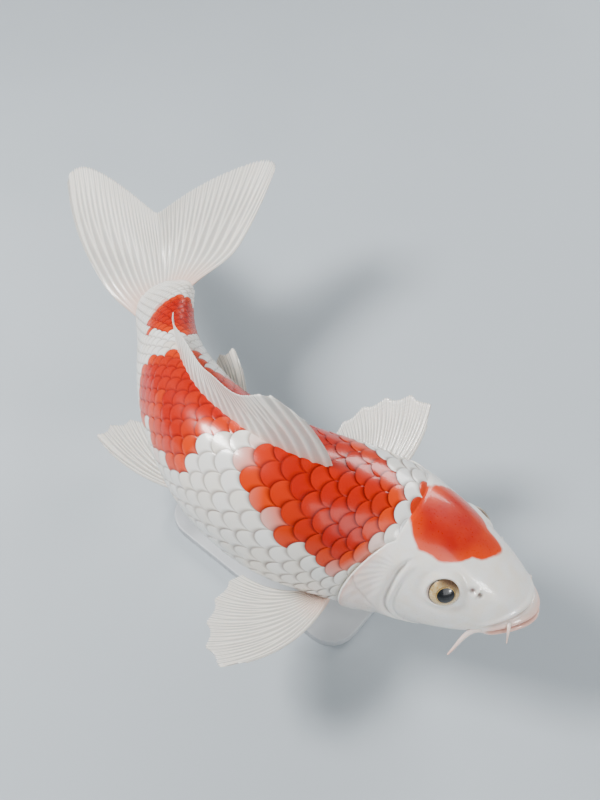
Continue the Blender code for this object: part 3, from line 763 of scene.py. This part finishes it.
feed(surface, base_color=colour, roughness=spread(tree, streaks, 0.3, 0.7, 0.22, 0.38),
     metallic=shine)


def turns(count):
    return np.linspace(0, 2 * np.pi, count, endpoint=False)


def lathe(radius, height, count):
    """Points turned about the z axis, from a column of radii and one of heights."""
    return joined(radius * np.cos(turns(count)), radius * np.sin(turns(count)), height)


for side, word in ((1, "right"), (-1, "left")):
    centre, back, upward, out = eye_frame(side)
    polar = np.linspace(0, np.pi, EYE_RINGS)[1:-1, None]
    local = lathe(np.sin(polar), np.cos(polar), EYE_TURNS)
    local = np.concatenate([local.reshape(-1, 3), [[0, 0, 1], [0, 0, -1]]])
    tilt_up, tilt_ahead = (math.tan(math.radians(tilt)) for tilt in (GAZE_UP, GAZE_AHEAD))
    gaze_out = unit(out + upward * tilt_up - back * tilt_ahead)
    gaze_up = unit(upward - gaze_out * (upward @ gaze_out))
    axes = np.stack([np.cross(gaze_up, gaze_out) * side, gaze_up, gaze_out])
    eye = add_mesh("koi_eye_" + word, bend(centre + local @ axes * EYE_RADIUS),
                   pod_faces(EYE_RINGS - 2, EYE_TURNS), eye_look, gaze=local)
    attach(eye, "root")
    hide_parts("eye_" + word)

# ---- The barbels ----
# Two pairs of soft feelers: short ones on the upper lip and long ones at the corners of the
# mouth. Each is a fleshy root that tapers to a fine tip, of the same skin as the lips.
BARBELS = {"long": ((0.070, 104.0), (0.012, 0.018, 0.028), 0.0028, (0.10, 0.05, 0.14)),
           "short": ((0.034, 80.0), (-0.006, 0.009, 0.015), 0.0018, (0.00, 0.30, 0.42))}
BARBEL_TURNS, BARBEL_RINGS = 16, 34

for size, ((s, a), (back, out, down), radius, arch) in BARBELS.items():
    for side, word in ((1, "right"), (-1, "left")):
        start = flesh(s, side * a, -0.003)
        t = np.linspace(0, 1, BARBEL_RINGS)[:, None]
        reach = np.array([back, side * out, -down])
        curl = np.array(arch) * (1, side, 1) * np.linalg.norm(reach)
        route = start + reach * t + curl * np.sin(np.pi * t) * (1 - 0.9 * t)
        run = unit(np.gradient(route, axis=0))
        one = unit(np.cross(run, [0.1, 1.0, 0.2]))
        two = np.cross(run, one)
        taper = radius * (1 - 0.74 * t ** 0.9) * (1 + 0.55 * bell(t, 0.13))
        taper = taper * (1 + 0.03 * np.sin(t * 60)) * np.sqrt(np.clip((1.003 - t) / 0.03, 0, 1))
        spin = turns(BARBEL_TURNS)[:, None]
        tube = route[:, None] + taper[:, None] * (one[:, None] * np.cos(spin)
                                                  + two[:, None] * np.sin(spin))
        points = np.concatenate([tube.reshape(-1, 3), route[-1:] + run[-1:] * radius * 0.1])
        faces = grid_faces(BARBEL_RINGS, BARBEL_TURNS, closed=True).tolist()
        tip, last_row = len(points) - 1, (BARBEL_RINGS - 1) * BARBEL_TURNS
        faces += [(tip, b, a) for a, b in next_round(range(last_row, tip))]
        faces.append(range(BARBEL_TURNS))
        blush = np.append(np.repeat(0.25 + 0.6 * t[:, 0] ** 2, BARBEL_TURNS), 0.85)
        name = "barbel_%s_%s" % (size, word)
        barbel = add_mesh("koi_" + name, bend(points), faces, skin_look, place=points,
                          hollow=np.zeros(len(points)), flush=blush)
        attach(barbel, "root")
        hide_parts(name)

# ---- The fins ----
# Thin milky skin stretched over bony rays. A ray is one rod at its root and branches twice on
# the way out, and the skin between the rays is drawn in a little at the free edge. The paired
# fins start from a fleshy base, and the back fin from a stout front ray.
FIN_THICK = (0.0011, 0.00022)   # half-thickness of the skin at its root and at its edge
STEPS_TO_RAY = 9                # steps of the mesh from one ray to the next


def in_body(station, height, side):
    return bend(joined(station, side, height) * STANDARD_LENGTH)


def dorsal_ray(v, r):
    root = 0.385 + 0.400 * v
    length = 0.096 * (1 - v) ** 1.8 + 0.066 - 0.018 * np.sin(np.pi * v) ** 2
    length = length * (1 - 0.22 * bell(v, 0.04)) * (1 + 0.05 * np.sin(6 * np.pi * v))
    sweep = np.radians(14 + 34 * v + 14 * r)
    return in_body(root + r * length * np.sin(sweep),
                   back_of(root) * 0.93 + r * length * np.cos(sweep),
                   -0.04 * r * length + 0.008 * r * r * np.sin(2.5 * np.pi * v))


def anal_ray(v, r):
    root = 0.765 + 0.075 * v
    length = (0.150 * (1 - v) + 0.070 * v) * (1 - 0.18 * bell(v, 0.10))
    sweep = np.radians(30 + 26 * v + 10 * r)
    return in_body(root + r * length * np.sin(sweep),
                   -belly_of(root) * 0.90 - r * length * np.cos(sweep),
                   -0.006 * r * r * np.cos(2 * np.pi * v))


def caudal_ray(v, r):
    v = 2 * v - 1
    reach = np.abs(v)
    fan = np.radians(34.0) * np.sign(v) * reach ** 0.85
    length = 0.150 + 0.310 * reach ** 1.25
    length = length * (1 - 0.24 * np.clip((reach - 0.70) / 0.30, 0, 1) ** 2.2) * (1 - 0.05 * v)
    flare = fan * (1 + (0.26 - 0.12 * v) * (0.5 - r))
    # the first rays of each lobe leave along the edge of the stalk, then bend outward
    flare = flare * (1 - 0.32 * reach ** 3 * bell(r, 0.15))
    return in_body(0.975 + 0.035 * np.cos(v * np.pi / 2) + r * length * np.cos(flare),
                   0.062 * v + r * length * np.sin(flare),
                   0.012 * np.sin(np.pi * r) * np.sin(1.3 * np.pi * v) + 0.09 * r * r)


def paired_ray(v, r, side, fin):
    root = bend(flesh(fin["station"] + fin["root_length"] * v,
                      side * (fin["angle"] + fin["root_slope"] * v), -0.004))
    _, tailward, up, right = spine_at(np.full_like(v, fin["station"]))
    lift = np.radians(fin["lift"] + fin["cup"] * (v - 0.5))[..., None]
    outward = right * side * np.cos(lift) + up * np.sin(lift)
    sweep = np.radians(fin["sweep"] + fin["spread"] * v + fin["bow"] * r)
    length = fin["length"] * (1 - fin["shorten"] * v ** 1.7)
    length = length * (1 - 0.16 * bell(v, 0.10))
    length = length * (1 - 0.05 * np.abs(np.cos(np.pi * fin["lobes"] * v)))
    reach = outward * np.cos(sweep)[..., None] + tailward * np.sin(sweep)[..., None]
    return root + reach * (r * length * STANDARD_LENGTH)[..., None]


PECTORAL = dict(station=0.326, angle=124.0, root_length=0.030, root_slope=10.0, length=0.240,
                spread=50.0, bow=26.0, shorten=0.42, lobes=5, cup=-16.0, rays=15)
PELVIC = dict(station=0.610, angle=148.0, root_length=0.026, root_slope=4.0, length=0.235,
              spread=36.0, bow=18.0, shorten=0.36, lobes=4, cup=-14.0, rays=9)
HELD = {"pectoral_fin_right": (1, dict(PECTORAL, sweep=4.0, lift=-10.0)),
        "pectoral_fin_left": (-1, dict(PECTORAL, station=0.335, sweep=-50.0, lift=30.0,
                                       spread=44.0)),
        "pelvic_fin_right": (1, dict(PELVIC, sweep=47.0, lift=2.0)),
        "pelvic_fin_left": (-1, dict(PELVIC, sweep=26.0, lift=36.0))}

fin_look, tree, surface = new_look("koi_fins", subsurface_weight=0.10, subsurface_scale=0.003,
                                   subsurface_radius=(1.0, 0.6, 0.4), coat_roughness=0.12)
bone, outness = node(tree, "SeparateXYZ", placed(tree, "web")).outputs[:2]
joints = sums(tree, "SINE", times(tree, outness, 210.0))
cloudy = noise(tree, placed(tree, "web"), 9.0, 3.0)
colour = mixed(tree, bone, (0.62, 0.60, 0.56), (0.90, 0.87, 0.80))
colour = mixed(tree, spread(tree, cloudy, 0.35, 0.75, 0.0, 0.35), colour, (0.80, 0.70, 0.62))
colour = mixed(tree, spread(tree, outness, 0.0, 0.30, 0.62, 0.0), colour, (0.82, 0.44, 0.32))
solidity = mixed(tree, bone, spread(tree, outness, 0.10, 0.9, 0.94, 0.50), 0.97, "FLOAT")
joints = times(tree, times(tree, joints, bone), spread(tree, outness, 0.25, 0.35))
feed(surface, base_color=colour, roughness=spread(tree, cloudy, 0.3, 0.7, 0.28, 0.42),
     coat_weight=spread(tree, bone, 0.0, 1.0, 0.35, 0.65), alpha=solidity,
     normal=bumped(tree, joints, 0.18, 0.0004))


def ray_ridges(place, r, stout):
    """1 on a ray and 0 between rays. place counts the rays; the first ones may be unbranched."""
    middle = np.abs(place - np.floor(place) - 0.5)
    branched = ease(place, stout, stout + 1.0)
    first = 0.25 * ease(r, 0.30, 0.78) * branched
    second = 0.115 * ease(r, 0.66, 0.97) * branched
    away = np.minimum(np.abs(middle - first - second), np.abs(middle - first + second))
    wide = 0.19 - 0.055 * ease(r, 0.25, 0.5) * branched - 0.045 * ease(r, 0.6, 0.85) * branched
    return bell(away, wide)


def add_fin(name, ray, rays, out_steps, flesh_base=0.0, stout=0.0):
    across = rays * STEPS_TO_RAY + 1
    v, r = np.meshgrid(np.linspace(0, 1, across), np.linspace(0, 1, out_steps) ** 0.9,
                       indexing="ij")
    place = np.clip(v * rays, 0, rays - 1e-6)
    ridges = ray_ridges(place, r, stout)
    if flesh_base:
        ridges = ridges * ease(r, 0.03, 0.15)
    drawn_in = 1 - 0.020 * (1 - ridges) * ease(r, 0.80, 1.0)
    grid = ray(v, r * drawn_in)
    facing = unit(np.cross(np.gradient(grid, axis=0), np.gradient(grid, axis=1)))
    thin = FIN_THICK[0] + (FIN_THICK[1] - FIN_THICK[0]) * r ** 0.6
    rod = 0.00062 * (1 - 0.70 * r) * (1 + 0.9 * (1 - ease(place, stout, stout + 1)) * (stout > 0))
    base = flesh_base * (1 - ease(r, 0.0, 0.20)) * np.sin(np.pi * (0.08 + 0.84 * v)) ** 0.5
    # the first and last rays are round, so both side edges of a fin are
    rounded = np.sqrt(1 - (1 - np.clip(2 * np.minimum(place, rays - place), 0, 1)) ** 2)
    half_thick = FIN_THICK[1] + (thin - FIN_THICK[1] + rod * ridges + base) * rounded
    off = facing * half_thick[..., None]
    web = joined(ridges, r, place / 10)
    fin = add_mesh("koi_" + name, [grid + off, grid - off],
                   slab_faces(across, out_steps).tolist(), fin_look, web=[web, web])
    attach(fin, "root")
    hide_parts(name)


add_fin("dorsal_fin", dorsal_ray, 20, 40, stout=2.0)
add_fin("anal_fin", anal_ray, 8, 30, stout=1.0)
add_fin("caudal_fin", caudal_ray, 22, 64, flesh_base=0.0010)
for name, (side, fin) in HELD.items():
    add_fin(name, lambda v, r: paired_ray(v, r, side, fin), fin["rays"], 48, flesh_base=0.0022,
            stout=1.0)

# ---- The stand ----
# A flat steel plate, painted, and two upright steel rods that carry the fish. Each rod stands
# in a turned collar on the plate.
paint_look, tree, surface = new_look("stand_paint", coat_weight=0.15, coat_roughness=0.3)
where = node(tree, "TexCoord").outputs["Object"]
orange_peel = noise(tree, where, 900.0, 2.0)
wear = noise(tree, where, 18.0, 4.0)
colour = mixed(tree, spread(tree, wear, 0.35, 0.7), (0.50, 0.51, 0.52), (0.44, 0.45, 0.465))
feed(surface, base_color=colour, roughness=spread(tree, wear, 0.3, 0.7, 0.38, 0.52),
     normal=bumped(tree, orange_peel, 0.15, 0.0004))


def dress(name, look):
    """Gives a solid of the stand its material."""
    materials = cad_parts[name].data.materials
    materials.clear()
    materials.append(look)


dress("stand_base", paint_look)
steel_look, tree, surface = new_look("stand_steel", metallic=1.0)
where = node(tree, "TexCoord").outputs["Object"]
brushed = node(tree, "VectorMath", where, (40.0, 40.0, 2600.0), operation="MULTIPLY").outputs[0]
lines = noise(tree, brushed, 1.0, 3.0)
feed(surface, base_color=mixed(tree, lines, (0.52, 0.53, 0.54), (0.66, 0.67, 0.68)),
     roughness=spread(tree, lines, 0.3, 0.7, 0.20, 0.36))
# each step of the collar's profile: its radius and its height over the plate
COLLAR = ((0.0047, 0.0), (0.0105, 0.0), (0.0112, 0.0006), (0.0112, 0.0030), (0.0104, 0.0040),
          (0.0072, 0.0044), (0.0064, 0.0056), (0.0060, 0.0100), (0.0054, 0.0108), (0.0047, 0.0108))
COLLAR_TURNS = 48
for word in ("front", "rear"):
    dress("stand_rod_" + word, steel_look)
    low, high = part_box("stand_rod_" + word)
    foot = ((low.x + high.x) / 2, (low.y + high.y) / 2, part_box("stand_base")[1].z)
    radius, height = np.array(COLLAR).T[..., None]
    faces = grid_faces(len(COLLAR), COLLAR_TURNS, closed=True).tolist()
    last_row = (len(COLLAR) - 1) * COLLAR_TURNS
    faces += [(last_row + a, a, b, last_row + b) for a, b in next_round(range(COLLAR_TURNS))]
    collar = add_mesh("stand_collar_" + word, lathe(radius, height, COLLAR_TURNS) + foot, faces,
                      steel_look, crease=35)
    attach(collar, "root")

# ---- The floor, the lights and the camera ----
# A plain pale floor that curves up into a backdrop, soft studio light from above, and the
# camera above the fish's right shoulder.
floor_look, tree, surface = new_look("studio_floor", emission_strength=1.0)
where = node(tree, "TexCoord").outputs["Object"]
soft = noise(tree, where, 6.0, 3.0)
away = node(tree, "VectorMath", where, operation="LENGTH").outputs[1]
glow = mixed(tree, spread(tree, away, 2.0, 5.0), (0.0, 0.0, 0.0), (0.15, 0.162, 0.17))
feed(surface, base_color=mixed(tree, soft, (0.43, 0.465, 0.49), (0.46, 0.495, 0.52)),
     roughness=spread(tree, soft, 0.3, 0.7, 0.62, 0.75), emission_color=glow)
FLAT, COVE, WALL = 3.0, 2.0, 4.5     # the flat floor's radius, the cove's, and the wall's top
FLAT_RINGS, COVE_RINGS, FLOOR_TURNS = 11, 19, 96
sweep = np.radians(np.linspace(0, 90, COVE_RINGS))
radius = np.concatenate([np.linspace(0.02, FLAT, FLAT_RINGS + 1)[:-1],
                         FLAT + COVE * np.sin(sweep), [FLAT + COVE]])[:, None]
height = np.concatenate([np.zeros(FLAT_RINGS), COVE * (1 - np.cos(sweep)), [WALL]])[:, None]
faces = grid_faces(len(radius), FLOOR_TURNS, closed=True).tolist() + [range(FLOOR_TURNS)]
floor = add_mesh("floor", lathe(radius, height, FLOOR_TURNS), faces, floor_look)

LIGHTS = (("key", (-0.75, -0.55, 1.25), 0.45, 24.0), ("fill", (1.3, -0.7, 0.8), 1.0, 5.0),
          ("rim", (0.2, 1.4, 1.0), 0.7, 12.0), ("spot", (1.24, -0.27, 0.58), 0.18, 2.6))
FISH_MIDDLE = bend(np.array([0.5 * STANDARD_LENGTH, 0, 0]))
scene = bpy.context.scene


def set_up(name, data, at, aim):
    """A light or a camera at a place, turned to a direction."""
    thing = bpy.data.objects.new(name, data)
    thing.location = at
    thing.rotation_euler = aim.to_track_quat("-Z", "Y").to_euler()
    scene.collection.objects.link(thing)
    return thing


for name, at, across, power in LIGHTS:
    light = bpy.data.lights.new(name, "AREA")
    light.size, light.energy = across, power
    set_up(name, light, at, Vector(FISH_MIDDLE) - Vector(at))
world = bpy.data.worlds.new("studio")
world.use_nodes = True
feed(world.node_tree.nodes["Background"], color=(0.93, 0.96, 1.0, 1), strength=0.34)
scene.world = world
scene.view_settings.look = "AgX - Medium High Contrast"
scene.view_settings.exposure = 0.12

AZIMUTH, ELEVATION, DISTANCE, LENS = math.radians(40), math.radians(56), 0.8, 42.94
target = FISH_MIDDLE + (-0.0300, 0.0844, 0.0)
toward = np.array([math.sin(AZIMUTH) * math.cos(ELEVATION),
                   -math.cos(AZIMUTH) * math.cos(ELEVATION), math.sin(ELEVATION)])
view = bpy.data.cameras.new("camera")
view.lens, view.sensor_width = LENS, 36.0
scene.camera = set_up("camera", view, target + toward * DISTANCE, Vector(-toward))
